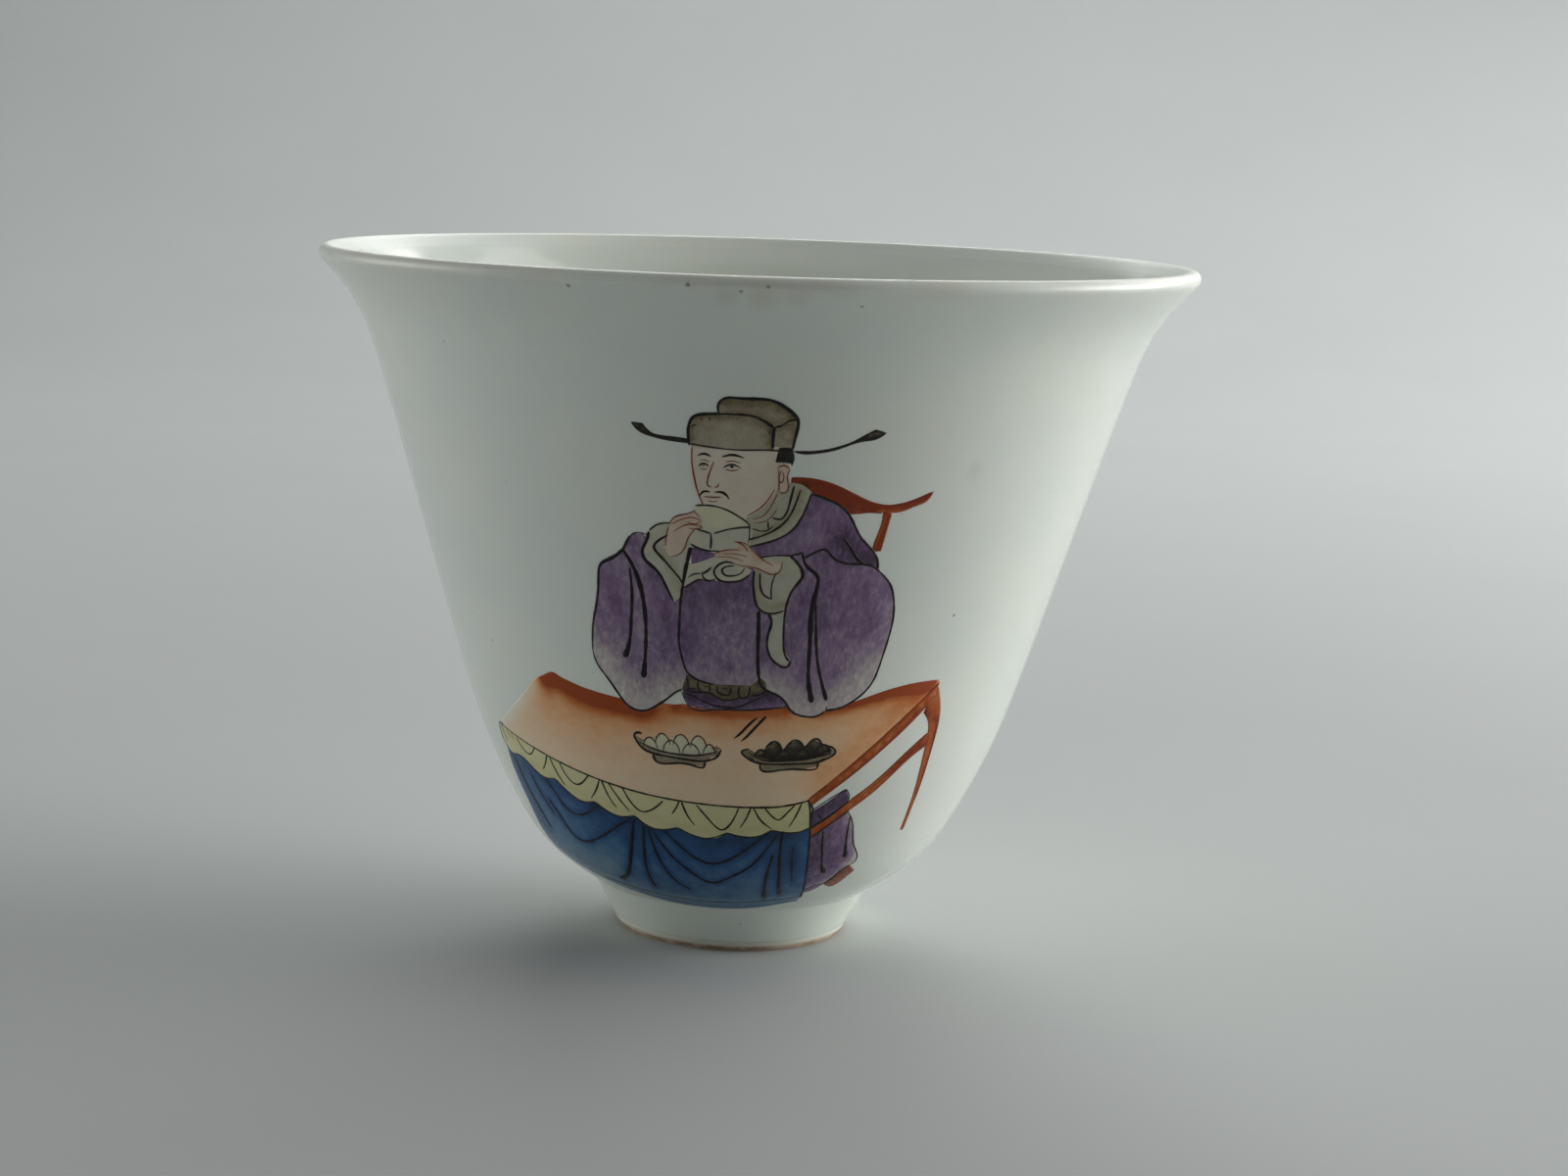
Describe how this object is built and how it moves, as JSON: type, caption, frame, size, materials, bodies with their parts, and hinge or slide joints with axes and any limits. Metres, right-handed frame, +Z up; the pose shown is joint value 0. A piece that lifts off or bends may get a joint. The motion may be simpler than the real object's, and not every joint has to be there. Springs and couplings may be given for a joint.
{
  "type": "tea cup",
  "caption": "Bell-shaped porcelain tea cup with a flared lip and a small tapered foot, enamelled over the glaze with an official seated at a draped table.",
  "frame": {"origin": "middle of the foot ring's resting face", "axes": "+Z up the cup's axis towards the mouth, -Y the way the painting faces, +X to the viewer's right"},
  "size_m": [0.08, 0.08, 0.063],
  "materials": {
    "bare_porcelain": "unglazed, flashed brown where bare at the foot",
    "clear_glaze": "glossy greenish white glaze, thin and warm at the lip",
    "blue_enamel": "translucent blue enamel, pale at its edges",
    "green_enamel": "pale yellow-green enamel",
    "aubergine_enamel": "mottled aubergine enamel fading to grey",
    "brown_enamel": "iron-brown enamel",
    "iron_orange_enamel": "iron-orange enamel, brushed on",
    "iron_red_wash": "iron-red wash, strongest at the back edge",
    "cream_enamel": "pale cream enamel",
    "olive_enamel": "grey-olive enamel",
    "ink_enamel": "black painter's line enamel",
    "flesh_enamel": "thin flesh-coloured wash"
  },
  "bodies": {
    "root": {"porcelain_body": "bare_porcelain", "glaze_outside": "clear_glaze", "glaze_inside": "clear_glaze", "glaze_base": "clear_glaze", "enamel_table_cloth": "blue_enamel", "enamel_valance": "green_enamel", "enamel_robe_hem": "aubergine_enamel", "enamel_shoe": "brown_enamel", "enamel_robe_skirt_side": "aubergine_enamel", "enamel_table_stretcher": "iron_orange_enamel", "enamel_table_leg": "iron_orange_enamel", "enamel_table_top": "iron_red_wash", "enamel_table_rail": "iron_orange_enamel", "enamel_chair_rail": "iron_orange_enamel", "enamel_chair_post": "iron_orange_enamel", "enamel_collar": "cream_enamel", "enamel_robe_shoulder": "aubergine_enamel", "enamel_skirt_front": "aubergine_enamel", "enamel_left_sleeve": "aubergine_enamel", "enamel_right_sleeve": "aubergine_enamel", "enamel_sleeve_lining": "cream_enamel", "enamel_belt": "olive_enamel", "enamel_robe_front": "aubergine_enamel", "enamel_sash_knot": "cream_enamel", "enamel_left_cuff": "cream_enamel", "enamel_right_cuff": "cream_enamel", "enamel_inner_cuff": "cream_enamel", "enamel_hat_back": "olive_enamel", "enamel_hat_side": "olive_enamel", "enamel_hat_wing_left": "ink_enamel", "enamel_hat_wing_right": "ink_enamel", "enamel_face": "flesh_enamel", "enamel_hair": "ink_enamel", "enamel_ear": "flesh_enamel", "enamel_hat_front": "olive_enamel", "enamel_drinking_bowl": "cream_enamel", "enamel_left_hand": "flesh_enamel", "enamel_right_hand": "flesh_enamel", "enamel_dish_left": "cream_enamel", "enamel_dish_right": "cream_enamel", "enamel_buns": "cream_enamel", "enamel_fruits": "ink_enamel", "enamel_chopstick_left": "ink_enamel", "enamel_chopstick_right": "ink_enamel"}
  },
  "joints": []
}
